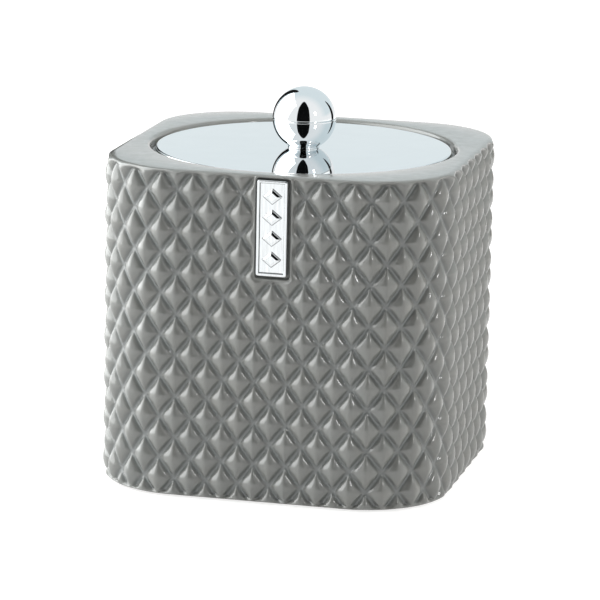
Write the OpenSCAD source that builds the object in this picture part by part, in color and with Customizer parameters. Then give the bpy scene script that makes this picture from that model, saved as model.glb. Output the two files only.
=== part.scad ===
// Square ceramic jar for cotton pads, with a relief of diamonds round its sides and a round
// metal lid that lifts off by a ball knob. The origin is the middle of the underside, +Z is up
// and the small metal badge is on the front, which faces -Y. All sizes are in millimetres.

/* [Body] */
// Width and depth of the body over the tips of the diamonds
body_w = 111; // [92:1:140]
// Height of the ceramic body from its foot to its rim
body_h = 102; // [80:1:140]
// Radius of the body's upright corners over the tips of the diamonds
corner_r = 28.5; // [24:0.5:34]
// Thickness of the wall behind the valleys of the relief
wall_t = 5.5; // [4:0.5:7]
// Thickness of the floor
floor_t = 7; // [5:0.5:10]
// Radius inside the jar where its walls meet its floor and its shoulder
inner_r = 8; // [4:0.5:9]
// Radius of the outer edge of the rim
rim_r = 2.5; // [1.5:0.25:3]
// Radius of the outer edge of the foot
foot_r = 2.2; // [1.5:0.1:3]

/* [Diamonds] */
// Diamonds in one row round the body
diamonds = 38; // [24:1:42]
// Rows of whole diamonds from the foot to the rim
rows = 8; // [5:1:9]
// Height of a diamond's tip above the valleys beside it
relief = 2.5; // [1:0.25:3]
// Share of a diamond, from its edge inward, that is the steep side of the valley
valley_share = 0.22; // [0.12:0.02:0.34]
// Height at the inner edge of that steep side, as a share of the relief
valley_rise = 0.4; // [0:0.05:0.6]
// Height of the lowest diamonds' part that the foot cuts off
foot_cut = 1.2; // [0:0.1:2]

/* [Mouth] */
// Width of the rim at the middle of each side
rim_w = 7.5; // [6:0.5:10]
// Width of the ledge that the lid rests on
ledge_w = 4; // [3:0.5:5]
// Thickness of the shoulder below the ledge
shoulder_t = 7; // [5:0.5:10]
// Radius of the inner edge of the rim
mouth_r = 1.4; // [0.5:0.1:1.5]

/* [Lid] */
// Thickness of the lid plate
lid_t = 1.5; // [1.2:0.1:2.5]
// Gap between the lid plate and the wall of the mouth
lid_gap = 1.5; // [1:0.25:2.5]
// Depth of the lid plate's top below the rim
lid_drop = 0.7; // [0:0.1:1.5]
// Height of the skirt that centres the lid in the mouth
skirt_h = 5; // [3:0.5:8]
// Gap between the skirt and the throat
skirt_gap = 1.5; // [1:0.25:2]
// Thickness of the skirt's sheet metal
skirt_t = 0.8; // [0.6:0.1:1.2]
// Width of the skirt's flange under the lid plate
flange_w = 6; // [4:0.5:10]
// Thickness of the soft ring under the lid plate
seal_t = 1.2; // [1:0.1:2]
// Gap between the soft ring and the wall of the mouth
seal_gap = 2.5; // [2:0.25:3]

/* [Knob] */
// Diameter of the ball knob
ball_d = 20; // [18:0.5:28]
// Diameter of the neck below the ball
neck_d = 9.9; // [8:0.1:12]
// Height of the neck that shows below the ball
neck_h = 0.5; // [0.25:0.25:4]
// Depth of the groove where the two halves of the ball meet
seam_d = 0.25; // [0.1:0.05:0.4]
// Diameter of the spigot that joins the two halves
spigot_d = 11; // [8:0.5:13]
// Length of the spigot
spigot_l = 2.4; // [1.5:0.1:3]

/* [Knob screw] */
// Diameter of the screw's shank
screw_d = 4; // [3:0.5:4]
// Length of the screw inside the knob
screw_grip = 5; // [4:0.25:5]
// Diameter of the screw's head
head_d = 8; // [6:0.5:9]
// Height of the screw's head
head_h = 2.4; // [2:0.1:3]
// Diameter of the washer
washer_d = 12; // [10:0.5:14]
// Thickness of the washer
washer_t = 1; // [0.6:0.1:1.5]
// Gap round the screw in the lid plate and the washer
screw_gap = 0.2; // [0.1:0.05:0.4]

/* [Badge] */
// Width of the badge
badge_w = 9.4; // [6:0.1:12]
// Height of the badge
badge_h = 29.4; // [20:0.1:40]
// Thickness of the badge with its raised border
badge_t = 2; // [1.6:0.1:2.5]
// Radius of the badge's corners
badge_r = 0.6; // [0.3:0.1:1.5]
// Distance from the middle of the front to the middle of the badge
badge_x = 3.9; // [-8:0.1:8]
// Distance from the rim down to the top of the badge
badge_down = 1.3; // [1.3:0.1:10]
// Gap round the badge in its pocket
badge_gap = 0.5; // [0.3:0.1:1]
// Further room in the pocket on the right of the badge
slack_right = 0.4; // [0:0.1:0.8]
// Further room in the pocket below the badge
slack_below = 0.5; // [0:0.1:0.8]
// Width of the raised border of the badge
border_w = 0.9; // [0.6:0.1:1.5]
// Height of the border and the lozenges above the badge's field
border_h = 0.6; // [0.3:0.1:0.8]
// Lozenges in the column on the badge
lozenges = 4; // [2:1:6]
// Thickness of the adhesive pad behind the badge
tape_t = 0.5; // [0.3:0.1:1]
// Width of the smooth lip round the pocket
lip_w = 0.9; // [0.6:0.1:2]
// Depth of the lip below the tips of the diamonds
lip_drop = 0.8; // [0.5:0.1:1]

/* [Foot] */
// Width of the ring of the foot that is left round the recess
foot_w = 5; // [4:0.5:8]
// Depth of the recess in the underside
recess_d = 1; // [0.5:0.25:2]
// Diameter of each foot pad
pad_d = 12; // [8:1:16]
// Height of the pads that shows below the foot
pad_show = 0.5; // [0.3:0.1:1]
// Distance of each pad's edge from the edge of the recess
pad_inset = 4; // [2:0.5:10]

/* [Hidden] */
$fn = 96;

glaze_grey = [0.50, 0.50, 0.49];
polished = [0.86, 0.88, 0.90];
steel_grey = [0.70, 0.71, 0.72];
soft_clear = [0.84, 0.85, 0.83];
tape_dark = [0.12, 0.12, 0.12];

// Heights, from the surface that the jar stands on
foot_z = pad_show;
rim_z = foot_z + body_h;
lid_top = rim_z - lid_drop;
lid_low = lid_top - lid_t;
ledge_z = lid_low - seal_t;
floor_z = foot_z + floor_t;
shoulder_z = ledge_z - shoulder_t;
ball_z = lid_top + round(100 * (neck_h + sqrt(pow(ball_d / 2, 2) - pow(neck_d / 2, 2)))) / 100;

// Plan sizes
valley_half = body_w / 2 - relief;
valley_r = corner_r - relief;
mouth_rad = body_w / 2 - rim_w;
throat_rad = mouth_rad - ledge_w;
cavity_half = valley_half - wall_t;
cavity_r = valley_r - wall_t;
recess_half = valley_half - foot_w;
recess_r = valley_r - foot_w;
pad_at = recess_half - recess_r + (recess_r - pad_inset - pad_d / 2) / sqrt(2);
skirt_rad = throat_rad - skirt_gap;
pocket_half = body_w / 2 - badge_t - tape_t;
badge_low = rim_z - badge_down - badge_h;

// Where the relief ends at the rim and at the foot, and how deep its valleys still are there
rim_edge = 0.9;
rim_depth = 0.6;
foot_edge = 0.9;
foot_depth = 0.75;
// Distance, in levels, that a diamond's inner corners keep from those ends
corner_room = 0.1;
// Height below the rim of the last turn of its outer edge
rim_turn = 0.15;
// Length by which a cut runs past the face that it opens
past = 1;

// The plan's outline at the valleys: four flats joined by quarter circles
flat_l = 2 * (valley_half - valley_r);
side_l = flat_l + valley_r * PI / 2;
columns = 2 * diamonds;
column_l = 4 * side_l / columns;
levels = 2 * rows;
level_h = (body_h + foot_cut) / levels;
tip_half = 1 - valley_share;
low_level = (foot_cut + foot_edge) / level_h;
top_level = levels - rim_edge / level_h;

// A point at a distance round the outline from the middle of the front, and standing out from it
function outline_at(along, out) =
    let (turn = floor((along + flat_l / 2) / side_l))
    let (rest = along + flat_l / 2 - turn * side_l)
    let (angle = max(0, rest - flat_l) / valley_r * 180 / PI)
    let (x = min(rest, flat_l) - flat_l / 2 + (valley_r + out) * sin(angle))
    let (y = valley_r - valley_half - (valley_r + out) * cos(angle))
    [x * cos(90 * turn) - y * sin(90 * turn), x * sin(90 * turn) + y * cos(90 * turn)];

// How far an edge of radius r has turned in, at a height of up beyond its start
function edge_turn(r, up) = r - sqrt(r * r - pow(max(0, min(up, r)), 2));

// How far the tips of the diamonds stand out from the valleys at a height
function tip_out(z) =
    relief - edge_turn(rim_r, z - rim_z + rim_r) - edge_turn(foot_r, foot_z + foot_r - z);

// Share of the valleys' depth that is left at a level
function depth_share(level) =
    level > levels - 1 ? rim_depth + (1 - rim_depth) * (top_level - level) / (top_level - levels + 1)
    : level < 1 ? foot_depth + (1 - foot_depth) * (level - low_level) / (1 - low_level)
    : 1;

// Share of the relief on a diamond's faces, at a distance across and up from its tip
function face_share(across, up) = 1 - (1 - valley_rise) * (abs(across) + abs(up)) / tip_half;

// A point of the relief: its column and level, counted in half diamonds, and its share of the relief
function relief_at(column, level, share) =
    let (z = foot_z - foot_cut + level * level_h)
    let (out = tip_out(z) - relief * (1 - share) * depth_share(level))
    let (p = outline_at(badge_x + column * column_l, out))
    [p[0], p[1], z];

// A point on the faces of the diamond whose tip is at a column and a level
function face_at(column, level, across, up) =
    let (height = min(max(level + up, low_level + corner_room), top_level - corner_room))
    relief_at(column + across, height, face_share(across, height - level));

// A ring at one height at the level of the tips, with four points to a diamond
function smooth_ring(z) = [for (c = [0 : 2 : columns - 2], step = [-tip_half, 0, tip_half, 1])
    let (p = outline_at(badge_x + (c + step) * column_l, tip_out(z))) [p[0], p[1], z]];

// The first and last ring of the relief, which cut the diamonds at a distance from their tips:
// inner corner, middle, inner corner, and the valley after them
function relief_ring(level, cut) =
    let (corner = tip_half - cut)
    let (steps = [-corner, 0, corner, 1], shares = [valley_rise, face_share(0, cut), valley_rise, 0])
    [for (c = [0 : 2 : columns - 2], point = [0 : 3]) relief_at(c + steps[point], level, shares[point])];

// The relief is one closed skin. Its points are listed as crossings of the valleys, then five
// points for each whole diamond, then the tips of the cut diamonds, then the rings, then the
// middles of the underside and of the top.
crossings = [for (k = [1 : levels - 1], c = [0 : diamonds - 1])
    relief_at(2 * c + (k % 2 == 1 ? 0 : 1), k, 0)];
whole_tips = [for (k = [1 : levels - 1], c = [0 : diamonds - 1])
    let (i = 2 * c + (k % 2 == 1 ? 1 : 0))
    each concat([relief_at(i, k, 1)],
        [for (p = [[0, 1], [1, 0], [0, -1], [-1, 0]]) face_at(i, k, tip_half * p[0], tip_half * p[1])])];
low_tips = [for (c = [0 : diamonds - 1]) face_at(2 * c, 0, 0, tip_half)];
top_tips = [for (c = [0 : diamonds - 1]) face_at(2 * c, levels, 0, -tip_half)];
skin_points = concat(crossings, whole_tips, low_tips, top_tips,
    smooth_ring(foot_z), relief_ring(low_level, low_level), relief_ring(top_level, levels - top_level),
    smooth_ring(rim_z - rim_turn), smooth_ring(rim_z), [[0, 0, foot_z], [0, 0, rim_z]]);

ring_n = 4 * diamonds;
tips_from = len(crossings);
low_from = tips_from + len(whole_tips);
top_from = low_from + diamonds;
rings_from = top_from + diamonds;

// Numbers of the points in that list
function pair(column) = floor(((column + columns) % columns) / 2);
function ring_point(ring, column, step) = rings_from + ring * ring_n + 4 * pair(column) + step;
function crossing(column, level) =
    level == 0 ? ring_point(1, column, 3)
    : level == levels ? ring_point(2, column, 3)
    : (level - 1) * diamonds + pair(column);
function tip(column, level, point) = tips_from + ((level - 1) * diamonds + pair(column)) * 5 + point;

// Upper and lower half of a diamond: its tip, its three inner corners and its three outer ones
function upper_half(peak, left, up, right, out_left, out_up, out_right) = [
    [peak, up, right], [peak, left, up],
    [up, out_up, out_right], [up, out_right, right],
    [left, out_left, out_up], [left, out_up, up]];
function lower_half(peak, left, down, right, out_left, out_down, out_right) = [
    [peak, right, down], [peak, down, left],
    [right, out_right, out_down], [right, out_down, down],
    [down, out_down, out_left], [down, out_left, left]];

whole_faces = [for (k = [1 : levels - 1], c = [0 : diamonds - 1])
    let (i = 2 * c + (k % 2 == 1 ? 1 : 0))
    each concat(
        upper_half(tip(i, k, 0), tip(i, k, 4), tip(i, k, 1), tip(i, k, 2),
            crossing(i - 1, k), crossing(i, k + 1), crossing(i + 1, k)),
        lower_half(tip(i, k, 0), tip(i, k, 4), tip(i, k, 3), tip(i, k, 2),
            crossing(i - 1, k), crossing(i, k - 1), crossing(i + 1, k)))];
low_faces = [for (c = [0 : diamonds - 1]) let (i = 2 * c)
    each upper_half(ring_point(1, i, 1), ring_point(1, i, 0), low_from + c, ring_point(1, i, 2),
        crossing(i - 1, 0), crossing(i, 1), crossing(i + 1, 0))];
top_faces = [for (c = [0 : diamonds - 1]) let (i = 2 * c)
    each lower_half(ring_point(2, i, 1), ring_point(2, i, 0), top_from + c, ring_point(2, i, 2),
        crossing(i - 1, levels), crossing(i, levels - 1), crossing(i + 1, levels))];

// The band of faces between a ring and the next one above it
function band(ring) = [for (i = [0 : ring_n - 1])
    let (a = rings_from + ring * ring_n + i, b = rings_from + ring * ring_n + (i + 1) % ring_n)
    each [[a + ring_n, b + ring_n, b], [a + ring_n, b, a]]];
middle_from = rings_from + 5 * ring_n;
foot_faces = [for (i = [0 : ring_n - 1])
    [middle_from, rings_from + i, rings_from + (i + 1) % ring_n]];
rim_faces = [for (i = [0 : ring_n - 1]) let (rim_from = rings_from + 4 * ring_n)
    [middle_from + 1, rim_from + (i + 1) % ring_n, rim_from + i]];
skin_faces = concat(whole_faces, low_faces, top_faces, band(0), band(2), band(3), foot_faces, rim_faces);

// A rectangle with round corners, about its middle
module rounded_rectangle(width, height, r) {
    square([width, height - 2 * r], center = true);
    square([width - 2 * r, height], center = true);
    for (x = [-1, 1], y = [-1, 1])
        translate([x * (width / 2 - r), y * (height / 2 - r)]) circle(r);
}

// Upright section from the axis to a wall, with its two outer corners rounded
module soft_section(reach, low, high, r) {
    translate([0, low + r]) square([reach, high - low - 2 * r]);
    translate([0, low]) square([reach - r, high - low]);
    for (z = [low + r, high - r])
        translate([reach - r, z]) circle(r);
}

// Space inside the jar: round corner posts joined by two crossing bars, all with soft edges
module cavity() {
    post_at = cavity_half - cavity_r;
    for (x = [-1, 1], y = [-1, 1])
        translate([x * post_at, y * post_at, 0])
            rotate_extrude()
                intersection() {
                    soft_section(cavity_r, floor_z, shoulder_z, inner_r);
                    square([cavity_r, rim_z]);
                }
    for (turn = [0, 90])
        rotate([90, 0, turn])
            translate([0, 0, -post_at])
                linear_extrude(2 * post_at)
                    for (side = [0, 1])
                        mirror([side, 0]) soft_section(cavity_half, floor_z, shoulder_z, inner_r);
}

// Round mouth, from the throat up past the ledge, with a soft inner edge at the rim
module mouth() {
    translate([0, 0, shoulder_z - inner_r])
        cylinder(r = throat_rad, h = ledge_z - shoulder_z + inner_r + past);
    rotate_extrude() {
        translate([0, ledge_z]) square([mouth_rad, rim_z - ledge_z + past]);
        difference() {
            translate([0, rim_z - mouth_r]) square([mouth_rad + mouth_r, mouth_r + past]);
            translate([mouth_rad + mouth_r, rim_z - mouth_r]) circle(mouth_r);
            translate([mouth_rad + mouth_r - past, rim_z]) square([2 * past, 2 * past]);
        }
    }
}

// Upright block through the front, from one depth out to another, round the badge's room
module pocket_block(margin, back, front) {
    translate([badge_x + slack_right / 2, -back, badge_low + (badge_h - slack_below) / 2])
        rotate([90, 0, 0])
            linear_extrude(front - back)
                rounded_rectangle(badge_w + slack_right + 2 * margin, badge_h + slack_below + 2 * margin,
                    badge_r + margin);
}

// The glazed stoneware jar
module ceramic_body() {
    color(glaze_grey)
        difference() {
            union() {
                polyhedron(skin_points, skin_faces, convexity = 6);
                intersection() {
                    pocket_block(badge_gap + lip_w, pocket_half - past, body_w / 2 - lip_drop);
                    translate([0, 0, foot_z]) cylinder(r = body_w, h = body_h - rim_r / 2);
                }
            }
            cavity();
            mouth();
            pocket_block(badge_gap, pocket_half, body_w / 2 + past);
            translate([0, 0, foot_z - past])
                linear_extrude(past + recess_d)
                    rounded_rectangle(2 * recess_half, 2 * recess_half, recess_r);
        }
}

// Four soft pads stuck in the recess of the underside
module foot_pads() {
    color(soft_clear)
        for (x = [-1, 1], y = [-1, 1])
            translate([x * pad_at, y * pad_at, 0]) cylinder(d = pad_d, h = pad_show + recess_d);
}

// Puts a drawing on the front, standing out from a depth, with its middle at the badge's
module at_badge(depth) {
    translate([badge_x, -depth, badge_low + badge_h / 2]) rotate([90, 0, 0]) children();
}

// Adhesive pad behind the badge
module badge_tape() {
    color(tape_dark)
        at_badge(pocket_half)
            linear_extrude(tape_t) square([badge_w - 2 * border_w, badge_h - 2 * border_w], center = true);
}

// Metal badge: a field with a raised border and a column of lozenges
module badge_plate() {
    field_t = badge_t - border_h;
    pitch = (badge_h - 4 * border_w) / lozenges;
    lozenge_w = badge_w / 2 - 2 * border_w;
    color(polished)
        at_badge(pocket_half + tape_t) {
            linear_extrude(field_t) rounded_rectangle(badge_w, badge_h, badge_r);
            linear_extrude(badge_t)
                difference() {
                    rounded_rectangle(badge_w, badge_h, badge_r);
                    square([badge_w - 2 * border_w, badge_h - 2 * border_w], center = true);
                }
            for (i = [0 : lozenges - 1])
                translate([0, (i - (lozenges - 1) / 2) * pitch, 0])
                    linear_extrude(badge_t)
                        polygon([[-lozenge_w, 0], [0, -pitch / 2 + border_w],
                            [lozenge_w, 0], [0, pitch / 2 - border_w]]);
        }
}

// Polished lid plate with a softened edge and a hole for the knob's screw
module lid_plate() {
    lid_rad = mouth_rad - lid_gap;
    edge_r = lid_t * 0.4;
    color(polished)
        rotate_extrude() {
            translate([screw_d / 2 + screw_gap, lid_low])
                square([lid_rad - edge_r - screw_d / 2 - screw_gap, lid_t]);
            translate([lid_rad - 2 * edge_r, lid_low + edge_r]) square([2 * edge_r, lid_t - 2 * edge_r]);
            for (z = [lid_low + edge_r, lid_top - edge_r])
                translate([lid_rad - edge_r, z]) circle(edge_r);
        }
}

// Pressed ring under the lid plate, whose skirt keeps the lid in the middle of the mouth
module lid_skirt() {
    color(steel_grey)
        rotate_extrude() {
            translate([skirt_rad - flange_w, lid_low - skirt_t]) square([flange_w, skirt_t]);
            translate([skirt_rad - skirt_t, lid_low - skirt_h]) square([skirt_t, skirt_h]);
        }
}

// Soft ring round the skirt, which the lid rests on
module lid_seal_ring() {
    color(soft_clear)
        rotate_extrude()
            translate([skirt_rad, ledge_z]) square([mouth_rad - seal_gap - skirt_rad, seal_t]);
}

// The ball's outline on one side of the axis, with the groove of its seam
module ball_half_section() {
    difference() {
        translate([0, ball_z])
            intersection() {
                circle(d = ball_d);
                translate([0, -ball_d / 2]) square([ball_d / 2, ball_d]);
            }
        translate([ball_d / 2, ball_z]) rotate(45) square(seam_d * sqrt(2), center = true);
    }
}

// Lower half of the ball with its neck, a socket above and a threaded hole below
module knob_base() {
    color(polished)
        difference() {
            rotate_extrude() {
                intersection() {
                    ball_half_section();
                    translate([0, lid_top]) square([ball_d, ball_z - lid_top]);
                }
                translate([0, lid_top]) square([neck_d / 2, ball_z - lid_top - spigot_l]);
            }
            translate([0, 0, ball_z - spigot_l]) cylinder(d = spigot_d, h = spigot_l + past);
            translate([0, 0, lid_top - past]) cylinder(d = screw_d, h = screw_grip + past + screw_gap);
        }
}

// Upper half of the ball, with the spigot that fits the socket
module knob_cap() {
    color(polished)
        rotate_extrude() {
            intersection() {
                ball_half_section();
                translate([0, ball_z]) square([ball_d, ball_d]);
            }
            translate([0, ball_z - spigot_l]) square([spigot_d / 2, spigot_l]);
        }
}

// Pan head screw that holds the knob from under the lid
module knob_screw() {
    head_top = lid_low - washer_t;
    slot_w = 1.2;
    color(steel_grey)
        difference() {
            union() {
                translate([0, 0, head_top - head_h]) cylinder(d1 = head_d * 0.75, d2 = head_d, h = head_h);
                translate([0, 0, head_top]) cylinder(d = screw_d, h = washer_t + lid_t + screw_grip);
            }
            for (turn = [0, 90])
                rotate([0, 0, turn])
                    translate([-head_d / 4, -slot_w / 2, head_top - head_h - past])
                        cube([head_d / 2, slot_w, past + head_h / 2]);
        }
}

// Flat washer between the screw's head and the lid plate
module knob_washer() {
    color(steel_grey)
        translate([0, 0, lid_low - washer_t])
            difference() {
                cylinder(d = washer_d, h = washer_t);
                translate([0, 0, -past]) cylinder(r = screw_d / 2 + screw_gap, h = washer_t + 2 * past);
            }
}

ceramic_body();
foot_pads();
badge_tape();
badge_plate();
lid_plate();
lid_skirt();
lid_seal_ring();
knob_base();
knob_cap();
knob_screw();
knob_washer();
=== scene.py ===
"""Finished surfaces of a square ceramic cotton pad jar with a metal lid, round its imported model.

Each shape is a stack of rings or a grid of points, worked out as whole arrays from the sizes in
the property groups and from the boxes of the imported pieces. Lengths are in metres and angles in
radians, +Z is up and the badge faces -Y.
"""

from math import cos, pi, radians, sin, tan

import bpy
import numpy as np
from bpy.props import FloatProperty, FloatVectorProperty, IntProperty, PointerProperty
from mathutils import Matrix, Vector


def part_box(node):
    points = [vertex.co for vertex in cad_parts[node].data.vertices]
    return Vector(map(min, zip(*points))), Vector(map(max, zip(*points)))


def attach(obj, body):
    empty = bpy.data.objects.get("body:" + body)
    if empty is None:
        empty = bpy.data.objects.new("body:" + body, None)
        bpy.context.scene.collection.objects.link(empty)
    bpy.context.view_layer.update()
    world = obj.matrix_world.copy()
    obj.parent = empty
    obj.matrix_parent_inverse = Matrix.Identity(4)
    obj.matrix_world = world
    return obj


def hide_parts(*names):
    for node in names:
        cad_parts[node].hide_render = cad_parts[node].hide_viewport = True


bl_info = {
    "name": "Cotton Pad Jar",
    "version": (1, 0, 0),
    "blender": (4, 5, 0),
    "location": "3D View > Sidebar > Pad Jar",
    "description": "Builds the finished pieces of a ceramic jar with a relief of diamonds and a metal lid",
    "category": "Add Mesh",
}

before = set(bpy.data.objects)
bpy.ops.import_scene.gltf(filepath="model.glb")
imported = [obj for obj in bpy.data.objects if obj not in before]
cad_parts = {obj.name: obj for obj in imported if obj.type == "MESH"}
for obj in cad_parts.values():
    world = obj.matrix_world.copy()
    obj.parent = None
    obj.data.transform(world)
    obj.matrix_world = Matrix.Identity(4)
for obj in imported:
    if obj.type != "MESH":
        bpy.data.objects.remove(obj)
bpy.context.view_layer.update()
MM = 0.001

# Distances into the badge's pocket, from its edge, at which the jar's mesh has finer lines
BESIDE_POCKET = np.array([-1.2, -0.8, -0.45, -0.25, -0.1, 0.02, 0.12, 0.4]) * MM
# Least gaps between a finer line and an even one, and between a finer line and one of the rim's arc
LINE_GAP, ARC_GAP = 0.15 * MM, 0.04 * MM
# Half the width over which the diamonds run into the pocket's lip, and how deep the lip turns in
LIP_BLEND, LIP_SINK = 0.35 * MM, 0.25 * MM
# Signed distances from the pocket's edge between which the lip drops to the pocket's floor
POCKET_DROP = (0.04 * MM, -0.12 * MM)


def length(name, description, default):
    """A property for a length, whose default is given in millimetres."""
    return FloatProperty(name=name, description=description, default=default * MM,
                         min=0, precision=5, subtype="DISTANCE", unit="LENGTH")


def share(name, description, default):
    """A property for a share of something, from 0 to 1."""
    return FloatProperty(name=name, description=description, default=default, min=0, max=1, subtype="FACTOR")


def colour(name, description, default):
    """A property for a linear colour."""
    return FloatVectorProperty(name=name, description=description, default=default,
                               min=0, max=1, size=3, subtype="COLOR")


def turn_by(name, description, default):
    """A property for an angle, whose default is given in degrees."""
    return FloatProperty(name=name, description=description, default=radians(default),
                         subtype="ANGLE", unit="ROTATION")


class PADJAR_PG_jar(bpy.types.PropertyGroup):
    """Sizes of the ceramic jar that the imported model's boxes don't give"""

    diamonds: IntProperty(name="Diamonds", description="Diamonds in one row round the jar", default=38, min=8)
    rows: IntProperty(name="Rows", description="Rows of whole diamonds up the jar", default=8, min=2)
    steps: IntProperty(name="Steps", description="Mesh steps across half a diamond", default=8, min=2)
    relief: length("Relief", "Height of the diamonds' tips above the valleys", 2.2)
    foot_cut: length("Foot cut", "Height of the lowest diamonds' part that the foot cuts off", 1.2)
    gully: share("Gully", "Share of a diamond, from its edge in, over which the valley turns upward", 0.12)
    swell: share("Swell", "Share of the relief that bulges, steep at the edge and level at the tip", 0.55)
    crisp: FloatProperty(name="Crisp", description="Power of the bulge: more makes its edge steeper",
                         default=2.5, min=1)
    ridge: share("Ridge", "Share of a diamond on each side of its upright ridge that is rounded", 0.06)
    crest: share("Crest", "Share of a diamond above and below its level ridge that is rounded", 0.24)
    corner: length("Corner", "Radius of the upright corners over the tips", 28.3)
    rim_round: length("Rim edge", "Radius of the outer edge of the rim", 2.5)
    rim_fade: length("Rim fade", "Height over which the valleys run out below the rim", 1.6)
    foot_round: length("Foot edge", "Radius of the outer edge of the foot", 2.2)
    foot_fade: length("Foot fade", "Height over which the valleys run out above the foot", 1.3)
    rim_width: length("Rim width", "Width of the rim at the middle of each side", 7.5)
    mouth_round: length("Mouth edge", "Radius of the inner edge of the rim", 1.4)
    ledge_width: length("Ledge width", "Width of the ledge that the lid rests on", 4)
    ledge_round: length("Ledge edge", "Radius of the soft turns of the ledge", 0.7)
    shoulder: length("Shoulder", "Thickness of the shoulder below the ledge", 7)
    wall: length("Wall", "Thickness of the wall behind the valleys", 5.5)
    floor: length("Floor", "Thickness of the floor", 7)
    inner_round: length("Inner edge", "Radius inside, where the walls meet the floor and the shoulder", 8)
    foot_width: length("Foot width", "Width of the ring of the foot round the recess", 5)
    recess: length("Recess", "Depth of the recess in the underside", 1)
    recess_round: length("Recess edge", "Radius of the soft turns of the recess", 0.35)
    pocket_gap: length("Pocket gap", "Gap round the badge in its pocket", 0.5)
    slack_right: length("Slack right", "Further room in the pocket on the right of the badge", 0.4)
    slack_below: length("Slack below", "Further room in the pocket below the badge", 0.5)
    pocket_corner: length("Pocket corner", "Radius of the pocket's corners", 1.1)
    lip_width: length("Lip width", "Width of the smooth lip round the pocket", 0.9)
    lip_drop: length("Lip drop", "Depth of the lip below the tips", 0.8)


class PADJAR_PG_metal(bpy.types.PropertyGroup):
    """Sizes of the lid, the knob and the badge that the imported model's boxes don't give"""

    lid_edge: length("Lid edge", "Radius of the edges of the lid plate", 0.6)
    skirt_wall: length("Skirt wall", "Thickness of the skirt's sheet metal", 0.8)
    flange: length("Flange", "Width of the skirt's flange under the lid plate", 6)
    ring_edge: length("Ring edge", "Radius of the edges of the soft ring", 0.35)
    neck: length("Neck", "Diameter of the neck below the ball", 9.9)
    seam: length("Seam", "Depth of the groove where the two halves of the ball meet", 0.12)
    spigot: length("Spigot", "Diameter of the spigot that joins the two halves", 11)
    spigot_length: length("Spigot length", "Length of the spigot", 2.4)
    screw: length("Screw", "Diameter of the screw's shank", 4)
    screw_gap: length("Screw gap", "Gap round the screw in the lid plate and the washer", 0.2)
    border: length("Border", "Width of the badge's raised border", 0.9)
    border_height: length("Border height", "Height of the badge's border and lozenges above its field", 0.6)
    badge_corner: length("Badge corner", "Radius of the badge's corners", 0.6)
    badge_edge: length("Badge edge", "Radius of the edges of the border and the lozenges", 0.16)
    lozenges: IntProperty(name="Lozenges", description="Lozenges on the badge", default=4, min=1)
    pad_edge: length("Pad edge", "Radius of the edges of the foot pads", 0.4)


class PADJAR_PG_finish(bpy.types.PropertyGroup):
    """Colours of the finishes"""

    glaze: colour("Glaze", "Grey glaze on the faces of the diamonds", (0.217, 0.22, 0.206))
    # Colour of the glaze pooled in the valleys, with painted shade in it; the darker specks use it too
    glaze_pool_and_shade: colour("Pooled glaze and painted shade", "Darker glaze that gathers in the valleys", (0.075, 0.098, 0.108))
    glaze_thin: colour("Thin glaze", "Paler glaze along ridges and tips", (0.30, 0.295, 0.28))
    glaze_cool: colour("Cool glaze", "Soft cooler clouds in the glaze", (0.197, 0.213, 0.2109))
    # Share of the glaze pooling and the painted shade in the valleys
    pool: share("Pooling and painted shade", "How much darker the glaze is in the valleys", 0.4)
    thinning: share("Thinning", "How much paler the glaze is along ridges and tips", 0.15)
    gloss: share("Gloss", "Roughness of the glaze under its clear surface", 0.42)
    surface: share("Surface", "Roughness of the glaze's clear surface", 0.06)
    edge_span: FloatVectorProperty(name="Edge span", default=(0.04, 0.3), size=2,
                                   description="Shares inward between which a diamond's edge rises")
    edge_step: length("Edge step", "Height of the step that shading adds at a diamond's edge", 0.18)
    clay: colour("Clay", "Bare fired clay of the ring of the foot", (0.52, 0.47, 0.40))
    plating: colour("Plating", "Polished plating of the lid, the knob and the badge", (0.82, 0.85, 0.865))
    plating_worn: colour("Plating haze", "Fine haze on the plating", (0.77, 0.80, 0.815))
    steel: colour("Steel", "Plain sheet steel of the hidden pieces", (0.46, 0.47, 0.48))
    silicone: colour("Silicone", "Milky silicone of the ring and the pads", (0.66, 0.68, 0.66))
    foam: colour("Foam", "Dark foam of the adhesive pad", (0.02, 0.02, 0.02))
    # Colour of the painted shade in the steps of the badge's face
    painted_step_shade: colour("Painted step shade", "Darkened metal in the steps of the badge's face", (0.03, 0.032, 0.035))


class PADJAR_PG_stage(bpy.types.PropertyGroup):
    """The view and the white surroundings"""

    azimuth: turn_by("Azimuth", "Turn of the camera to the right of the front", 13.586)
    elevation: turn_by("Elevation", "Height of the camera above the horizon", 12.587)
    roll: turn_by("Roll", "Turn of the camera about its own line of sight", 1.152)
    distance: length("Distance", "Distance from the camera to its target", 1222.88)
    target_side: FloatProperty(name="Target side", description="Target's place to the right of the axis",
                               default=-0.218 * MM, precision=5, subtype="DISTANCE", unit="LENGTH")
    target_height: length("Target height", "Height of the target", 52.481)
    lens_share: FloatProperty(name="Lens share", description="Focal length over the picture's width",
                              default=6.4351, min=0.1)
    grey_from: FloatVectorProperty(name="Grey from", default=(0.08, 0.2), size=2,
                                   description="Sines of the elevations between which reflections turn grey")
    back_grey: colour("Back grey", "What the metal mirrors behind and above the jar", (0.78, 0.86, 0.885))
    floor_white: share("Floor white", "Share of the floor's white near the jar that no shadow darkens", 0.78)
    fill: FloatProperty(name="Fill", description="Strength of the room's even light", default=0.1, min=0)


def settings(*names):
    """The scene's property groups of these names."""
    return [getattr(bpy.context.scene, "padjar_" + name) for name in names]


def smooth(low, high, value):
    """Rises from 0 at low to 1 at high as 3t^2 - 2t^3, and is level outside them."""
    t = np.clip((value - low) / (high - low), 0, 1)
    return t * t * (3 - 2 * t)


def arc(steps, first=0.0, last=90.0):
    """Cosine and sine of evenly spaced angles from first to last, in degrees."""
    angle = np.radians(np.linspace(first, last, steps + 1))
    return np.cos(angle), np.sin(angle)


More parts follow.
